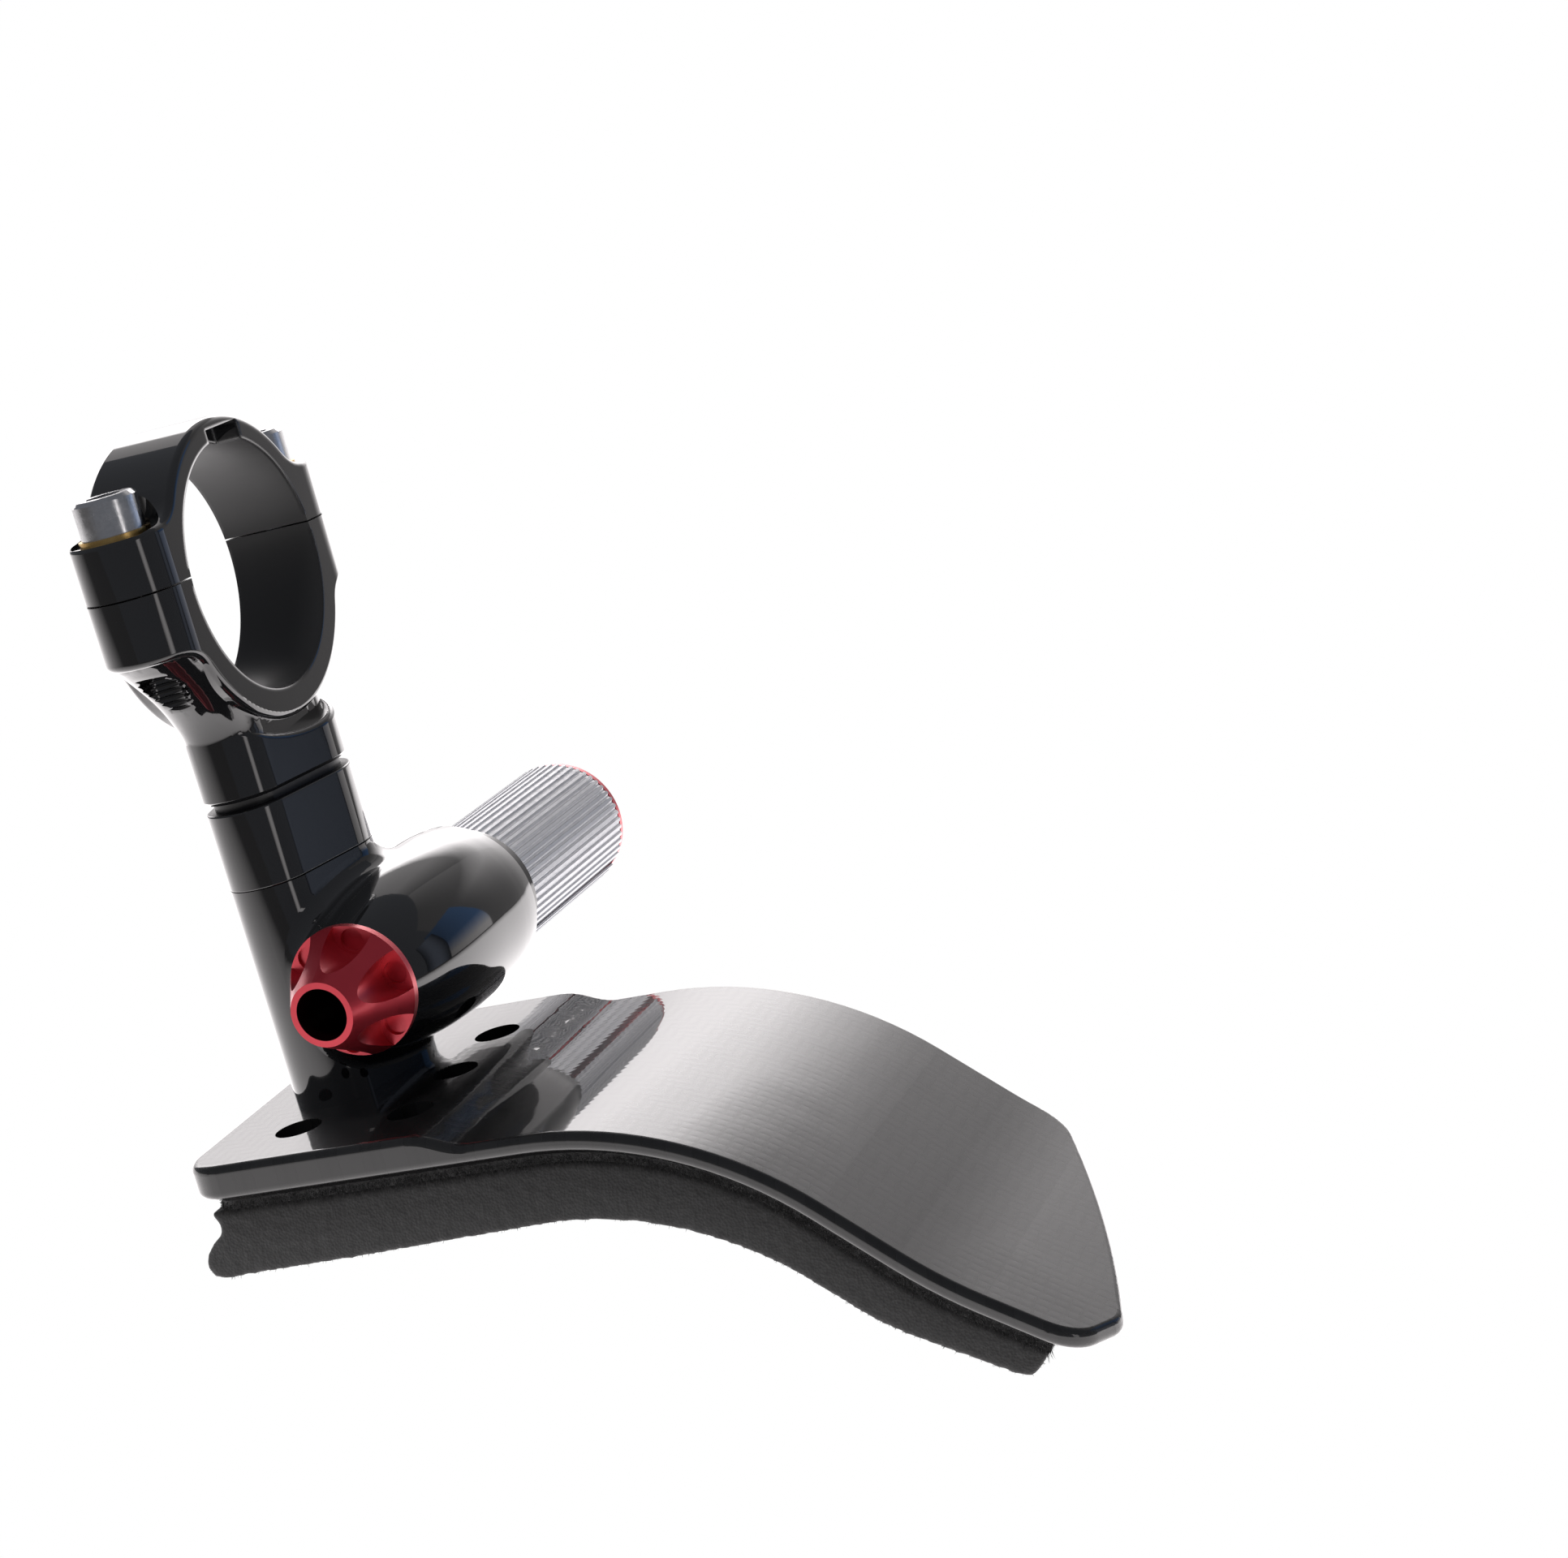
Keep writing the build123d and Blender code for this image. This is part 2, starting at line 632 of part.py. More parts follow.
with BuildPart() as foam_pad:
    with BuildSketch(section_plane) as foam_section:
        with BuildLine():
            top_left, top_tip = contour(pad_left_x, foam_depth, pad_tip_length)
            toe_centre = Vector(toe_x, foam_level - foam_heel_drop + pad_corner_radius)
            toe = CenterArc(toe_centre, pad_corner_radius, pad_toe_angle, 270 - pad_toe_angle)
            waist = top_left + Vector(pad_waist, -pad_waist_depth)
            Spline(top_left, waist, toe @ 0, tangents=(waist - top_left, toe % 0))
            foot_tip = section_curve(
                toe @ 1,
                foam_level,
                foam_crest_radius,
                foam_slope_length,
                foam_flick_radius,
                foam_tip_angle,
                foam_tip_length,
            )[1]
            Line(top_tip, foot_tip)
        make_face()
        fillet(foam_section.vertices().sort_by_distance(foot_tip)[0], pad_corner_radius)
    extrude(amount=armrest_rear_y - armrest_front_y)
    with BuildSketch(Plane.XY.offset(-armrest_tip_x)) as foam_plan:
        armrest_plan(foam_plan, pad_left_x - 2 * armrest_corner_radius, pad_inset)
    extrude(amount=2 * armrest_tip_x, mode=Mode.INTERSECT)

pieces = {
    "clamp_cap": clamp_cap,
    "clamp_base": clamp_base,
    "clamp_bolts": clamp_bolts,
    "clamp_washers": clamp_washers,
    "spacer": spacer,
    "bracket_body": bracket_body,
    "thrust_washer": thrust_washer,
    "expander_bolt": expander_bolt,
    "expander_sleeve": expander_sleeve,
    "expander_cone": expander_cone,
    "armrest_shell": armrest_shell,
    "stack_bolts": stack_bolts,
    "hook_tape": hook_tape,
    "loop_backing": loop_backing,
    "foam_pad": foam_pad,
}

# Lean of the whole bracket: it rests on the rounded lower corners at both ends of the foam
rests = foam_section.sketch.edges().filter_by(GeomType.CIRCLE).filter_by(is_corner).sort_by(Axis.X)
foot_centre, tip_centre = rests[0].arc_center, rests[-1].arc_center
lean_angle = degrees(atan2(foot_centre.Z - tip_centre.Z, tip_centre.X - foot_centre.X))
lean = Location((0, 0, 0), (0, -lean_angle, 0))
leaned = Compound([piece.part.moved(lean) for piece in pieces.values()]).bounding_box()
standing = Pos(-leaned.center().X, -leaned.center().Y, -leaned.min.Z) * lean

for name, piece in pieces.items():
    placed = piece.part.moved(standing)
    placed.label = name
    export_step(placed, f"parts/{name}.step")
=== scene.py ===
"""Looks of the clip-on aero bar bracket: materials, foam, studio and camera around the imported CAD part."""
import json
import random
from math import pi

import bpy
from mathutils import Matrix, Vector, noise


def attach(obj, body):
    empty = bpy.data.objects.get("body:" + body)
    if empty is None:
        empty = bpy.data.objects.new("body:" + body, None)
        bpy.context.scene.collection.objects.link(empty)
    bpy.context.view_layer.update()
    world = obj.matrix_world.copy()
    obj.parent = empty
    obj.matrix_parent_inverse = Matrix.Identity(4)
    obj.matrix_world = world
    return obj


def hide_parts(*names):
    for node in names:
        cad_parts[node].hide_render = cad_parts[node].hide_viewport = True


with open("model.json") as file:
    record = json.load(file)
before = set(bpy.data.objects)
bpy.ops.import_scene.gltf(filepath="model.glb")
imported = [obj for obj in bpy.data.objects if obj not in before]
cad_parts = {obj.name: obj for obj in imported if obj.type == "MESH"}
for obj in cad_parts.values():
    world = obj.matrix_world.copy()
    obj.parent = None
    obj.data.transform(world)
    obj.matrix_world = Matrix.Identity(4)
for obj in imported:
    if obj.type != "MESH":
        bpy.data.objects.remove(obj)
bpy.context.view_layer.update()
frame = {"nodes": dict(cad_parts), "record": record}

nodes = frame["nodes"]
MM = 0.001

# The design frame, in millimetres: X along the handlebar, Y along the tube, Z up the stem from the armrest
BORE_HEIGHT = 67.0
mounts = {m["name"]: m for m in frame["record"]["mounts"]}
clamp, cable = mounts["handlebar_clamp"], mounts["cable_passage"]
bore_radius = clamp["dims"]["r_mm"]
cable_radius = cable["dims"]["r_mm"]
bore_centre = Vector(clamp["pos_m"])
cable_end = Vector(cable["pos_m"])
across = Vector(clamp["axis"])
ahead = Vector((0, 1, 0))
upward = across.cross(ahead)
turn = Matrix((across, ahead, upward)).transposed()
origin = bore_centre - upward * BORE_HEIGHT * MM

# Joints of the painted stack, as middle height and half height: the clamp's split and the neck's foot
SPLIT_RISE = 1.8
JOINTS = ((BORE_HEIGHT + SPLIT_RISE, 0.12), (39.6, 0.6))
JOINT_FADE = 0.05

# A bore's own finish reaches a little past its radius; the rim round the clamp's bore looks rolled
BORE_SKIN = 0.02
BORE_FADE = 0.04
RIM_WIDTH = 1.9
RIM_FADE = 0.4
EDGE_RADIUS = 0.7

# Width of one tow of the carbon weave
TOW_WIDTH = 1.5


# Node helpers


class Shader:
    """One procedural material, with short calls for its nodes; scales are per metre, lengths in metres."""

    def __init__(self, name, **sockets):
        self.mat = bpy.data.materials.new(name)
        self.mat.use_nodes = True
        self.tree = self.mat.node_tree
        self.bsdf = self.tree.nodes["Principled BSDF"]
        self.place = self.tree.nodes.new("ShaderNodeTexCoord").outputs["Object"]
        for socket, value in sockets.items():
            self.feed(socket.replace("_", " "), value)

    def set(self, node, socket, value):
        """Give a node's input a value, or link it to another node's output."""
        if isinstance(value, bpy.types.NodeSocket):
            self.tree.links.new(value, node.inputs[socket])
        else:
            node.inputs[socket].default_value = value

    def feed(self, socket, value):
        """Give an input of the surface itself a value or a link."""
        self.set(self.bsdf, socket, value)

    def noise(self, scale, detail=2.0, rough=0.5, vector=None):
        """Smooth noise from 0 to 1, fixed to the object."""
        node = self.tree.nodes.new("ShaderNodeTexNoise")
        self.set(node, "Vector", self.place if vector is None else vector)
        self.set(node, "Scale", scale)
        self.set(node, "Detail", detail)
        self.set(node, "Roughness", rough)
        return node.outputs["Fac"]

    def cells(self, scale):
        """Distance to the nearest of many scattered points, as in a foam."""
        node = self.tree.nodes.new("ShaderNodeTexVoronoi")
        self.set(node, "Vector", self.place)
        self.set(node, "Scale", scale)
        return node.outputs["Distance"]

    def fit(self, value, low, high, to_low, to_high):
        """Value carried over from one range to another, and held at the ends."""
        node = self.tree.nodes.new("ShaderNodeMapRange")
        self.set(node, "Value", value)
        self.set(node, "From Min", low)
        self.set(node, "From Max", high)
        self.set(node, "To Min", to_low)
        self.set(node, "To Max", to_high)
        return node.outputs["Result"]

    def spread(self, value, low, high):
        """Noise, which mostly lies from 0.3 to 0.7, spread over a range."""
        return self.fit(value, 0.3, 0.7, low, high)

    def fade(self, value, start, length):
        """Share that is 1 up to the start and falls to 0 over the length."""
        return self.fit(value, start, start + length, 1.0, 0.0)

    def math(self, operation, a, b=0.0):
        """Result of an operation on numbers."""
        node = self.tree.nodes.new("ShaderNodeMath")
        node.operation = operation
        self.set(node, 0, a)
        self.set(node, 1, b)
        return node.outputs[0]

    def vector(self, operation, a, b=None):
        """Result of an operation on vectors."""
        node = self.tree.nodes.new("ShaderNodeVectorMath")
        node.operation = operation
        self.set(node, 0, a)
        if b is not None:
            self.set(node, 1, b)
        return node.outputs["Value" if operation in ("DOT_PRODUCT", "LENGTH") else "Vector"]

    def along(self, start, direction):
        """How far the place lies from a start along a direction."""
        return self.vector("DOT_PRODUCT", self.vector("SUBTRACT", self.place, start), direction)

    def from_axis(self, start, axis):
        """Distance of the place from the line through a start along a unit axis."""
        out = self.vector("SUBTRACT", self.place, start)
        return self.vector("LENGTH", self.vector("CROSS_PRODUCT", out, axis))

    def mix(self, share, a, b):
        """Colour between two others."""
        node = self.tree.nodes.new("ShaderNodeMix")
        node.data_type = "RGBA"
        self.set(node, 0, share)
        self.set(node, 6, a)
        self.set(node, 7, b)
        return node.outputs[2]

    def bump(self, height, strength, distance, normal=None):
        """Normal tilted by a height, on top of another normal if one is given."""
        node = self.tree.nodes.new("ShaderNodeBump")
        self.set(node, "Height", height)
        self.set(node, "Strength", strength)
        self.set(node, "Distance", distance)
        if normal is not None:
            self.set(node, "Normal", normal)
        return node.outputs["Normal"]

    def rounded(self, radius, share):
        """Normal that turns smoothly over the sharp edges nearby, where the share is 1."""
        node = self.tree.nodes.new("ShaderNodeBevel")
        node.samples = 8
        self.set(node, "Radius", radius)
        plain = self.tree.nodes.new("ShaderNodeNewGeometry").outputs["Normal"]
        return self.vector("NORMALIZE", self.mix(share, plain, node.outputs["Normal"]))


def grey(value, tint=0.0):
    """Grey with a slight blue tint, as a colour with alpha."""
    return (value * (1 - tint), value * (1 - tint / 2), value * (1 + tint), 1.0)


# Materials


def black_paint():
    """Gloss black paint with faint orange peel and dust; the clamp's bore is satin and its rim rolled."""
    s = Shader("black_paint", IOR=1.52, Coat_Roughness=0.02)
    out = s.from_axis(bore_centre, across)
    bore = s.fade(out, (bore_radius + BORE_SKIN) * MM, BORE_FADE * MM)
    rim = s.fade(out, (bore_radius + RIM_WIDTH) * MM, RIM_FADE * MM)
    satin = bore
    level = s.along(origin, upward / MM)
    for middle, half in JOINTS:
        gap = s.math("ABSOLUTE", s.math("SUBTRACT", level, middle))
        satin = s.math("MAXIMUM", satin, s.fade(gap, half, JOINT_FADE))
        clear = s.fit(gap, half + EDGE_RADIUS, half + 2 * EDGE_RADIUS, 0.0, 1.0)
        rim = s.math("MULTIPLY", rim, clear)
    dust = s.fit(s.noise(1900, 3.0, 0.6), 0.70, 0.76, 0.0, 1.0)
    dull = grey(0.02, 0.02)
    black = s.mix(dust, grey(0.009, 0.05), dull)
    s.feed("Base Color", s.mix(bore, black, dull))
    gloss = s.spread(s.noise(220, 3.0), 0.045, 0.085)
    s.feed("Roughness", s.math("ADD", gloss, s.math("MULTIPLY", satin, 0.34)))
    s.feed("Coat Weight", s.math("SUBTRACT", 1.0, satin))
    edge = s.rounded(EDGE_RADIUS * MM, rim)
    s.feed("Normal", s.bump(s.noise(420, 1.0), 0.012, 0.4 * MM, edge))
    s.feed("Coat Normal", edge)
    return s.mat


def carbon():
    """Twill carbon fibre under a thick clear coat that prints through a little; warp and weft tones and
    lighter tow crowns are painted sheen.
    """
    s = Shader("carbon", IOR=1.45, Specular_IOR_Level=0.12, Coat_Weight=1.0, Coat_IOR=1.55)

    def arch(place):
        """Height over the width of a tow: 0 at its edges and 1 in its middle."""
        return s.math("SINE", s.math("MULTIPLY", s.math("FRACT", place), pi))

    u = s.vector("DOT_PRODUCT", s.place, across / (TOW_WIDTH * MM))
    v = s.vector("DOT_PRODUCT", s.place, ahead / (TOW_WIDTH * MM))
    step = s.math("ADD", s.math("FLOOR", u), s.math("FLOOR", v))
    warp = s.math("LESS_THAN", s.math("FLOORED_MODULO", step, 4.0), 2.0)
    weft = s.math("SUBTRACT", 1.0, warp)
    over, under = arch(v), arch(u)
    height = s.math("ADD", s.math("MULTIPLY", warp, over), s.math("MULTIPLY", weft, under))
    # Painted sheen: warp and weft tows get different tones, and the crown of each tow is painted lighter as
    # a highlight
    tow_sheen_colour = s.mix(warp, grey(0.006, 0.02), grey(0.008, 0.02))
    s.feed("Base Color", s.mix(s.math("MULTIPLY", height, 0.3), tow_sheen_colour, grey(0.012, 0.02)))
    s.feed("Roughness", s.fit(height, 0.0, 1.0, 0.48, 0.4))
    s.feed("Coat Roughness", s.spread(s.noise(260, 2.0), 0.02, 0.05))
    dots = s.math("MULTIPLY", over, under)
    wave = s.bump(s.noise(90, 1.0), 0.04, 0.8 * MM)
    s.feed("Coat Normal", s.bump(dots, 0.012, 0.2 * MM, wave))
    return s.mat


def stainless():
    """Turned stainless steel with fine scratches."""
    s = Shader("stainless", Metallic=1.0)
    fine = s.noise(2600, 4.0, 0.65)
    s.feed("Base Color", s.mix(fine, grey(0.62, 0.01), grey(0.86, 0.01)))
    s.feed("Roughness", s.spread(s.noise(900, 3.0), 0.14, 0.28))
    s.feed("Normal", s.bump(fine, 0.06, 0.2 * MM))
    return s.mat


def brass():
    """Brass with slight tarnish."""
    s = Shader("brass", Metallic=1.0)
    tarnish = s.noise(700, 4.0, 0.6)
    s.feed("Base Color", s.mix(tarnish, (0.55, 0.33, 0.09, 1), (0.83, 0.58, 0.24, 1)))
    s.feed("Roughness", s.spread(tarnish, 0.34, 0.2))
    return s.mat


def red_anodised():
    """Satin red anodised aluminium; the cable bore inside is painted dark as shade."""
    s = Shader("red_anodised", Metallic=0.85, Coat_Roughness=0.28)
    out = s.from_axis(cable_end, ahead)
    bore_shade_mask = s.fade(out, (cable_radius + BORE_SKIN) * MM, BORE_FADE * MM)
    grain = s.noise(6500, 3.0, 0.6)
    dye = s.mix(s.noise(350, 2.0), (0.60, 0.028, 0.052, 1), (0.72, 0.042, 0.066, 1))
    # Painted shade: the inside of the cable bore is coloured near black, and loses its coat
    s.feed("Base Color", s.mix(bore_shade_mask, dye, (0.02, 0.002, 0.003, 1)))
    s.feed("Coat Weight", s.fit(bore_shade_mask, 0.0, 1.0, 0.9, 0.0))
    s.feed("Roughness", s.spread(grain, 0.34, 0.44))
    s.feed("Normal", s.bump(grain, 0.05, 0.1 * MM))
    return s.mat


def bare_aluminium():
    """Satin bare aluminium of the fluted sleeve."""
    s = Shader("bare_aluminium", Metallic=1.0)
    grain = s.noise(3200, 4.0, 0.65)
    s.feed("Base Color", s.mix(grain, grey(0.54, 0.02), grey(0.70, 0.02)))
    s.feed("Roughness", s.spread(s.noise(1100, 2.0), 0.42, 0.5))
    s.feed("Normal", s.bump(grain, 0.02, 0.1 * MM))
    return s.mat


def foam():
    """Closed-cell charcoal foam with a dry, slightly speckled skin and upright streaks."""
    s = Shader("foam", Sheen_Weight=0.25, Sheen_Roughness=0.6, Specular_IOR_Level=0.2)
    cells = s.cells(2600)
    streaks = s.noise(2400, 3.0, 0.6, s.vector("MULTIPLY", s.place, (1, 1, 0.12)))
    blotch = s.noise(160, 3.0)
    tone = s.mix(blotch, grey(0.008), grey(0.016))
    specks = s.fit(s.noise(2100, 4.0, 0.7), 0.45, 0.8, 0.0, 0.5)
    pale = s.math("ADD", specks, s.fit(streaks, 0.4, 0.75, 0.0, 0.18))
    s.feed("Base Color", s.mix(pale, tone, grey(0.036)))
    s.feed("Roughness", s.spread(blotch, 0.85, 1.0))
    s.feed("Normal", s.bump(streaks, 0.14, 0.3 * MM, s.bump(cells, 0.2, 0.3 * MM)))
    return s.mat


def fabric(name, tone):
    """Dark fuzzy layer of the hook-and-loop fastening."""
    s = Shader(name, Sheen_Weight=0.4, Sheen_Roughness=0.5, Specular_IOR_Level=0.2)
    fuzz = s.noise(3000, 4.0, 0.75)
    s.feed("Base Color", s.mix(fuzz, grey(tone * 0.5), grey(tone * 1.6)))
    s.feed("Roughness", s.spread(fuzz, 0.85, 1.0))
    s.feed("Normal", s.bump(fuzz, 0.6, 0.4 * MM))
    return s.mat


paint, steel, red = black_paint(), stainless(), red_anodised()
finish = {
    "clamp_cap": paint,
    "clamp_base": paint,
    "spacer": paint,
    "bracket_body": paint,
    "clamp_bolts": steel,
    "stack_bolts": steel,
    "thrust_washer": steel,
    "clamp_washers": brass(),
    "expander_bolt": red,
    "expander_cone": red,
    "expander_sleeve": bare_aluminium(),
    "armrest_shell": carbon(),
    "hook_tape": fabric("hook", 0.02),
    "loop_backing": fabric("loop", 0.016),
    "foam_pad": foam(),
}
for name, mat in finish.items():
    nodes[name].data.materials.clear()
    nodes[name].data.materials.append(mat)


# Softened edges: a real rounding on the spacer, and hardly more than shading on the clamp pieces
SOFT_EDGES = {"clamp_cap": 0.35, "clamp_base": 0.35, "spacer": 0.25}
WELD_DISTANCE = 0.002
SHARP_ANGLE = 0.6


def soften(piece, width):
    """Round a CAD node's sharp edges, by modifiers only; small faces beside an edge limit the width."""
    weld = piece.modifiers.new("weld", "WELD")
    weld.merge_threshold = WELD_DISTANCE * MM
    bevel = piece.modifiers.new("round", "BEVEL")
    bevel.width = width * MM
    bevel.segments = 3
    bevel.limit_method = "ANGLE"
    bevel.angle_limit = SHARP_ANGLE
    bevel.use_clamp_overlap = True
    bevel.harden_normals = False
    normals = piece.modifiers.new("normals", "WEIGHTED_NORMAL")
    normals.keep_sharp = False


for name, width in SOFT_EDGES.items():
    soften(nodes[name], width)


# Foam pad: the CAD pad's form with an even mesh and a slightly sunk, uneven skin; the scales are per metre
FOAM_VOXEL = 0.42
FOAM_SINK, FOAM_GRAIN, FOAM_SWELL = 0.10, 0.07, 0.06
GRAIN_SCALE, SWELL_SCALE = 900, 110
GRAIN_DIMENSION, GRAIN_LACUNARITY, GRAIN_OCTAVES = 0.7, 2.0, 3


def soft_foam():
    """Piece that stands for the CAD pad."""
    piece = bpy.data.objects.new("foam_soft", nodes["foam_pad"].data.copy())
    bpy.context.scene.collection.objects.link(piece)
    even = piece.modifiers.new("even", "REMESH")
    even.mode = "VOXEL"
    even.voxel_size = FOAM_VOXEL * MM
    relax = piece.modifiers.new("relax", "SMOOTH")
    relax.factor, relax.iterations = 0.5, 4
    graph = bpy.context.evaluated_depsgraph_get()
    mesh = bpy.data.meshes.new_from_object(piece.evaluated_get(graph))
    piece.modifiers.clear()
    piece.data = mesh
    normals = [v.normal.copy() for v in mesh.vertices]
    for v, normal in zip(mesh.vertices, normals):
        grain = noise.fractal(v.co * GRAIN_SCALE, GRAIN_DIMENSION, GRAIN_LACUNARITY, GRAIN_OCTAVES)
        swell = noise.noise(v.co * SWELL_SCALE)
        v.co -= normal * (FOAM_SINK + FOAM_GRAIN * grain + FOAM_SWELL * swell) * MM
    for face in mesh.polygons:
        face.use_smooth = True
    mesh.materials.clear()
    mesh.materials.append(finish["foam_pad"])
    return piece


pad = soft_foam()
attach(pad, "bracket")
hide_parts("foam_pad")


# Fibres, in millimetres: the pile of the loop backing, and the nap along the foam's cut edges
ROOT_DEPTH = 0.1
MIDDLE_SHARE = 0.7
SIN_60, COS_60 = 0.87, 0.5
PILE_COUNT, PILE_RADIUS = 10000, 0.035
PILE_TILT = 0.05
PILE_RISE = (-1.9, 0.5)
PILE_OUT = (0.15, 0.6)
PILE_STRAY = 0.3
PILE_BULGE = (0.05, 0.25)
NAP_COUNT, NAP_RADIUS = 8000, 0.03
NAP_TILT = (0.25, 0.92)
NAP_OUT = (0.05, 0.3)
NAP_STRAY = 0.12
NAP_BEND = 0.03
FLOOR_CLEARANCE = 0.1
chance = random.Random(7)


def fibres(name, mat, radius, threads):
    """Thin tapered threads of three sides, each given by its root, middle and tip."""
    points, faces = [], []
    for root, middle, tip in threads:
        side = (tip - root).orthogonal().normalized()
        other = side.cross((tip - root).normalized())
        first = len(points)
        for place, size in ((root, radius * MM), (middle, MIDDLE_SHARE * radius * MM)):
            points.append(place + side * size)
            points.append(place + (other * SIN_60 - side * COS_60) * size)
            points.append(place - (other * SIN_60 + side * COS_60) * size)
        points.append(tip)
        faces.append((first + 2, first + 1, first))
        for i in range(3):
            j = (i + 1) % 3
            faces.append((first + i, first + j, first + 3 + j, first + 3 + i))
            faces.append((first + 3 + i, first + 3 + j, first + 6))
    mesh = bpy.data.meshes.new(name)
    mesh.from_pydata(points, [], faces)
    mesh.materials.append(mat)
    piece = bpy.data.objects.new(name, mesh)
    bpy.context.scene.collection.objects.link(piece)
    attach(piece, "bracket")


def pile_threads(count):
    """Threads that lean up to the shell and hang over the foam, all round the loop backing."""
    mesh = nodes["loop_backing"].data
    mesh.calc_loop_triangles()
    walls = [t for t in mesh.loop_triangles if abs(t.normal.dot(upward)) < PILE_TILT]
    for tri in chance.choices(walls, [t.area for t in walls], k=count):
        a, b, c = (mesh.vertices[i].co for i in tri.vertices)
        low, high = sorted((chance.random(), chance.random()))
        root = a * low + b * (high - low) + c * (1 - high) - tri.normal * ROOT_DEPTH * MM
        along = upward.cross(tri.normal)
        rise = upward * chance.uniform(*PILE_RISE)
        out = tri.normal * chance.uniform(*PILE_OUT)
        tip = root + (rise + out + along * chance.gauss(0, PILE_STRAY)) * MM
        yield root, (root + tip) / 2 + tri.normal * chance.uniform(*PILE_BULGE) * MM, tip


def nap_threads(count):
    """Short threads on the rounded lower edges of the foam, clear of the floor."""
    low, high = NAP_TILT
    edge = [v for v in pad.data.vertices if low < -v.normal.dot(upward) < high]
    for v in chance.choices(edge, k=count):
        root = v.co - v.normal * ROOT_DEPTH * MM
        stray = Vector((chance.gauss(0, 1), chance.gauss(0, 1), chance.gauss(0, 1)))
        tip = v.co + v.normal * chance.uniform(*NAP_OUT) * MM + stray * NAP_STRAY * MM
        if tip.z > FLOOR_CLEARANCE * MM:
            yield root, (root + tip) / 2 + stray * NAP_BEND * MM, tip


fibres("loop_pile", finish["loop_backing"], PILE_RADIUS, pile_threads(PILE_COUNT))
fibres("foam_nap", finish["foam_pad"], NAP_RADIUS, nap_threads(NAP_COUNT))


# Studio, in metres: glowing cards that light the part and mirror in it; the camera does not see them
X_AXIS, Y_AXIS, Z_AXIS = (1, 0, 0), (0, 1, 0), (0, 0, 1)
WHITE = (1, 0.965, 0.97, 1)
BLUE = (0.25, 0.48, 0.95, 1)
PALE_BLUE = (0.58, 0.66, 0.84, 1)
FLOOR_LEVEL = -0.0002
FLOOR_MIDDLE = (0.05, 0.08, 0)


def card(name, corners, tint, glow):
    """Card of four corners whose glow varies over its face."""
    s = Shader(name)
    s.tree.nodes.remove(s.bsdf)
    light = s.tree.nodes.new("ShaderNodeEmission")
    s.set(light, "Color", tint(s) if callable(tint) else tint)
    s.set(light, "Strength", glow(s))
    s.tree.links.new(light.outputs[0], s.tree.nodes["Material Output"].inputs["Surface"])
    mesh = bpy.data.meshes.new(name)
    mesh.from_pydata([Vector(c) for c in corners], [], [(0, 1, 2, 3)])
    mesh.materials.append(s.mat)
    piece = bpy.data.objects.new(name, mesh)
    bpy.context.scene.collection.objects.link(piece)
    piece.visible_camera = False


def ramp(s, axis, low, high, first, last):
    """Value that goes from one level to another between two places along an axis."""
    return s.fit(s.vector("DOT_PRODUCT", s.place, axis), low, high, first, last)


def floor(name, start, stop, squeeze):
    """Part of the floor, brightest under the bracket and fading with the squeezed distance from there."""
    def glow(s):
        out = s.vector("MULTIPLY", s.vector("SUBTRACT", s.place, FLOOR_MIDDLE), squeeze)
        return s.fit(s.vector("LENGTH", out), 0.1, 0.32, 2.0, 0.1)

    (x, y), (far_x, far_y) = start, stop
    outline = ((x, y), (far_x, y), (far_x, far_y), (x, far_y))
    card(name, [(*corner, FLOOR_LEVEL) for corner in outline], WHITE, glow)


def wall(name, start, stop, low, high, tint, glow):
    """Upright card between two places on the floor."""
    card(name, [(*start, low), (*stop, low), (*stop, high), (*start, high)], tint, glow)


def soft_wall(name, start, stop, low, high, tint, level):
    """Upright card that fades out towards both of its upright edges."""
    foot = Vector((*start, 0))
    run = Vector((*stop, 0)) - foot

    def glow(s):
        share = s.along(foot, run / run.length_squared)
        hump = s.math("MULTIPLY", share, s.math("SUBTRACT", 1.0, share))
        return s.math("MULTIPLY", hump, 4 * level)

    wall(name, start, stop, low, high, tint, glow)


def band(s, low):
    """Share of the glow up a wall: brightest from half a metre to two thirds."""
    rise = ramp(s, Z_AXIS, 0.1, 0.5, low, 1.0)
    fall = ramp(s, Z_AXIS, 0.66, 0.8, 1.0, 0.15)
    return s.math("MINIMUM", rise, fall)


def backdrop_glow(s):
    """Glow of the wall behind the part, strongest at its left."""
    return s.math("MULTIPLY", ramp(s, X_AXIS, -0.3, 0.05, 4.0, 1.9), band(s, 0.35))


def side_glow(s):
    """Glow of the wall behind at the right, which falls off quickly along it."""
    share = ramp(s, X_AXIS, 0.05, 0.8, 1.26, 0.0)
    return s.math("ADD", s.math("MULTIPLY", s.math("MULTIPLY", share, share), band(s, 0.6)), 0.2)


def dusk_glow(s):
    """Glow of the dusk card: stronger towards its back end, weaker above."""
    length = ramp(s, Y_AXIS, 0.58, 0.91, 0.4, 1.0)
    rise = ramp(s, Z_AXIS, 0.08, 0.3, 1.0, 0.5)
    return s.math("MULTIPLY", length, rise)


def dusk_tint(s):
    """Colour of the dusk card: white at its foot, turning blue above."""
    return s.mix(ramp(s, Z_AXIS, 0.08, 0.3, 0.0, 1.0), WHITE, BLUE)


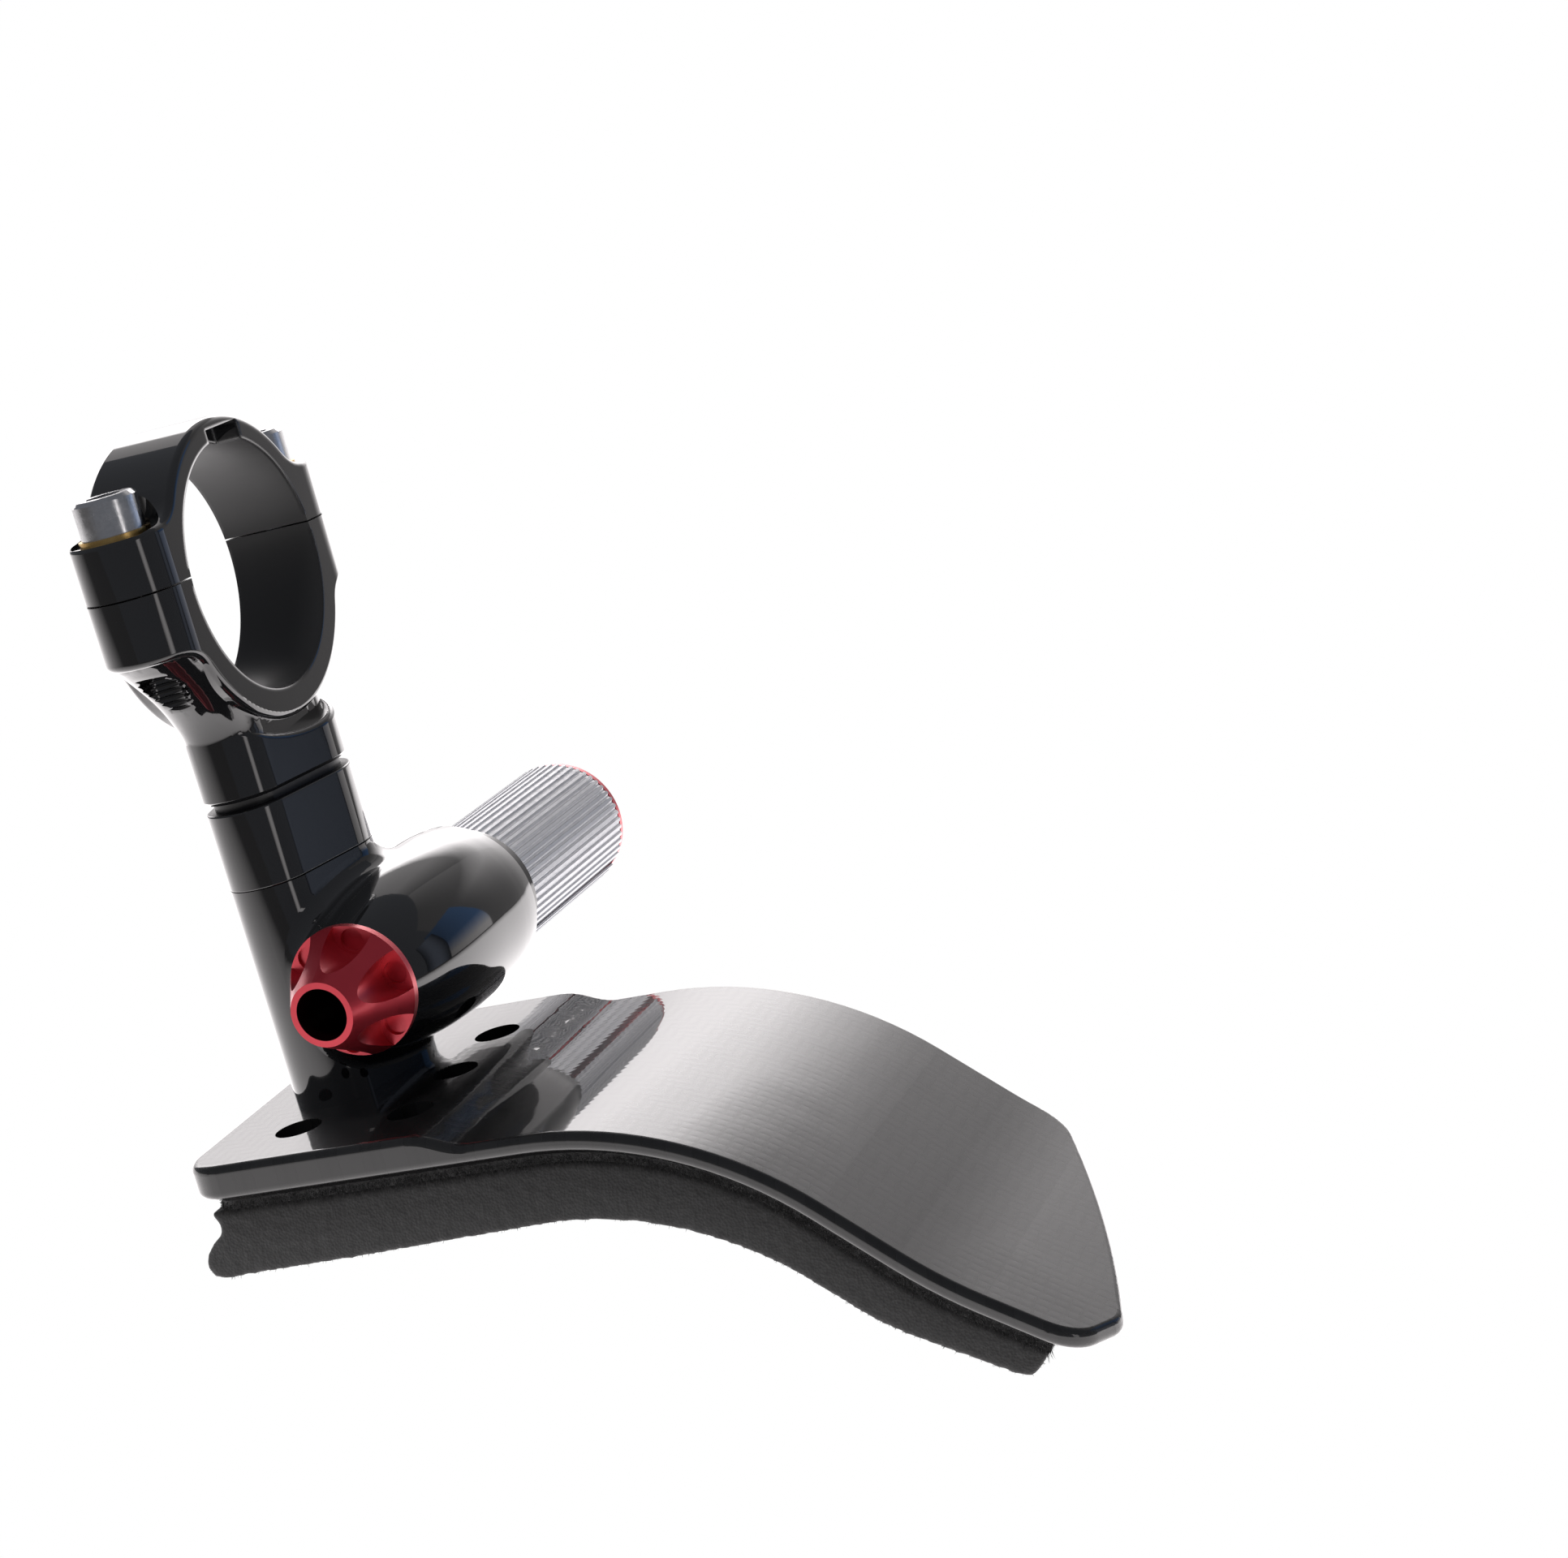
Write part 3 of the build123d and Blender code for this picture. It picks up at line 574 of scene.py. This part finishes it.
floor("floor", (-0.5, -0.5), (0.9, 0.08), (0.6, 1, 1))
floor("far_floor", (-0.5, 0.08), (0.9, 1.0), (0.6, 0.2, 1))
wall("backdrop", (-2, 1.2), (0.05, 1.2), -0.1, 1.5, WHITE, backdrop_glow)
wall("side", (0.05, 1.2), (1.3, 1.0), -0.1, 1.5, WHITE, side_glow)
soft_wall("blue", (0.95, 0.40), (0.80, 0.60), -0.1, 0.6, PALE_BLUE, 0.36)
wall("dusk", (0.93, 0.58), (0.62, 0.91), -0.1, 0.7, dusk_tint, dusk_glow)
soft_wall("strip", (0.95, -0.31), (0.86, -0.51), -0.05, 0.4, WHITE, 1.6)


def softbox(name, place, aim, size, power):
    """Lamp that lights the part but does not mirror in it."""
    data = bpy.data.lights.new(name, "AREA")
    data.shape = "RECTANGLE"
    data.size, data.size_y = size
    data.energy = power
    lamp = bpy.data.objects.new(name, data)
    lamp.location = place
    lamp.rotation_mode = "QUATERNION"
    lamp.rotation_quaternion = (Vector(aim) - Vector(place)).to_track_quat("-Z", "Y")
    lamp.visible_glossy = False
    bpy.context.scene.collection.objects.link(lamp)


softbox("overhead", (-0.2, -0.35, 0.9), (0, 0, 0.03), (0.16, 0.16), 4.0)
softbox("left", (-0.6, -0.7, 0.3), (0, 0, 0.06), (0.06, 0.06), 0.8)

# Room: dim where it lights the part or mirrors in it, and white to the camera
ROOM_COLOUR = (0.13, 0.135, 0.15, 1)
world = bpy.data.worlds.new("room")
bpy.context.scene.world = world
world.use_nodes = True
tree = world.node_tree
tree.nodes.clear()
seen = tree.nodes.new("ShaderNodeLightPath")
white = tree.nodes.new("ShaderNodeBackground")
white.inputs["Color"].default_value = (1, 1, 1, 1)
room = tree.nodes.new("ShaderNodeBackground")
room.inputs["Color"].default_value = ROOM_COLOUR
either = tree.nodes.new("ShaderNodeMixShader")
sky = tree.nodes.new("ShaderNodeOutputWorld")
tree.links.new(seen.outputs["Is Camera Ray"], either.inputs[0])
tree.links.new(room.outputs[0], either.inputs[1])
tree.links.new(white.outputs[0], either.inputs[2])
tree.links.new(either.outputs[0], sky.inputs["Surface"])

# Camera of the photograph, placed in the design frame
FOCAL_PIXELS, PHOTO_WIDTH = 4213.3, 1932
CAMERA_PLACE = Vector((218.4, -371.0, 110.3))
CAMERA_RIGHT = Vector((0.9122, 0.3147, -0.2624))
CAMERA_ABOVE = Vector((0.1740, 0.2821, 0.9435))
CAMERA_BEHIND = Vector((0.3709, -0.9063, 0.2026))
lens = bpy.data.cameras.new("camera")
lens.sensor_width = 36.0
lens.lens = FOCAL_PIXELS / PHOTO_WIDTH * lens.sensor_width
lens.clip_start, lens.clip_end = 0.01, 20.0
camera = bpy.data.objects.new("camera", lens)
view = Matrix((turn @ CAMERA_RIGHT, turn @ CAMERA_ABOVE, turn @ CAMERA_BEHIND)).transposed()
camera.matrix_world = Matrix.Translation(origin + turn @ CAMERA_PLACE * MM) @ view.to_4x4()
bpy.context.scene.collection.objects.link(camera)
bpy.context.scene.camera = camera
bpy.context.scene.view_settings.view_transform = "Standard"
